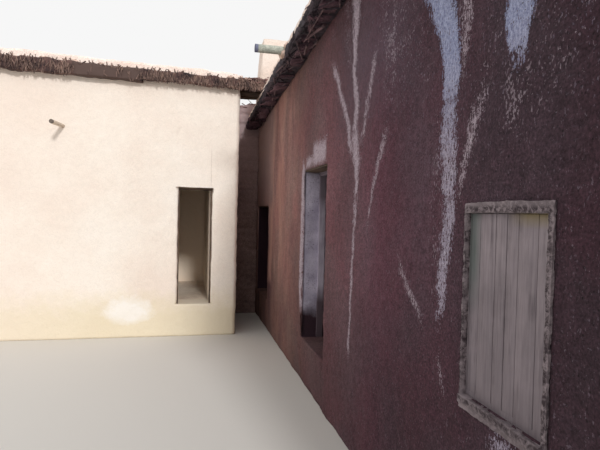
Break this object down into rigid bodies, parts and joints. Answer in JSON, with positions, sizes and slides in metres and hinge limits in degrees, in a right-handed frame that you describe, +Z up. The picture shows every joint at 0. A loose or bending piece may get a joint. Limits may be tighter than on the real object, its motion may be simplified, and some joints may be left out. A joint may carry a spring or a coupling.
{
  "type": "adobe house",
  "caption": "Two flat-roofed adobe wings set in an L round a court corner, with doorways, a shuttered window and an alley bridged by logs between them.",
  "frame": {"origin": "middle of the house's bounding box at the lowest ground level", "axes": "+X from the left wing to the right wing's back, +Y away from the court along the right wing, +Z up"},
  "size_m": [9.54, 11.49, 5.19],
  "materials": {
    "beaten_earth": "matte",
    "base_mud": "matte",
    "court_adobe": "matte",
    "facade_adobe": "matte",
    "rough_wood": "matte",
    "brush_layer": "matte",
    "roof_mud": "matte",
    "lime_plaster": "matte",
    "painted_wood": "matte",
    "grey_pipe": "satin"
  },
  "bodies": {
    "root": {"right_base": "base_mud", "right_floor": "beaten_earth", "right_wall_near": "court_adobe", "right_wall_middle": "court_adobe", "right_wall_far": "court_adobe", "right_wall_over_door": "court_adobe", "right_wall_over_low_door": "court_adobe", "right_back_wall": "court_adobe", "right_near_end_wall": "court_adobe", "right_far_end_wall": "court_adobe", "right_door_lintel": "rough_wood", "low_door_lintel": "rough_wood", "window_lintel": "rough_wood", "right_door_frame": "rough_wood", "window_surround": "lime_plaster", "window_frame": "painted_wood", "window_leaf_near": "painted_wood", "window_leaf_far": "painted_wood", "right_roof_poles": "rough_wood", "right_roof_brush": "brush_layer", "right_roof_mud": "roof_mud", "rain_spout": "grey_pipe", "roof_stack": "facade_adobe", "left_base": "base_mud", "left_floor": "beaten_earth", "left_facade_long": "facade_adobe", "left_facade_pier": "facade_adobe", "left_facade_over_door": "facade_adobe", "left_back_wall": "facade_adobe", "left_end_wall": "facade_adobe", "left_alley_wall": "facade_adobe", "left_door_lintel": "rough_wood", "left_door_frame": "rough_wood", "left_roof_poles": "rough_wood", "left_roof_brush": "brush_layer", "left_roof_mud": "roof_mud", "left_wall_peg": "rough_wood", "alley_closing_wall": "court_adobe", "alley_logs": "rough_wood", "alley_log_pad": "roof_mud", "alley_brush": "brush_layer", "alley_mud": "roof_mud"}
  },
  "joints": []
}
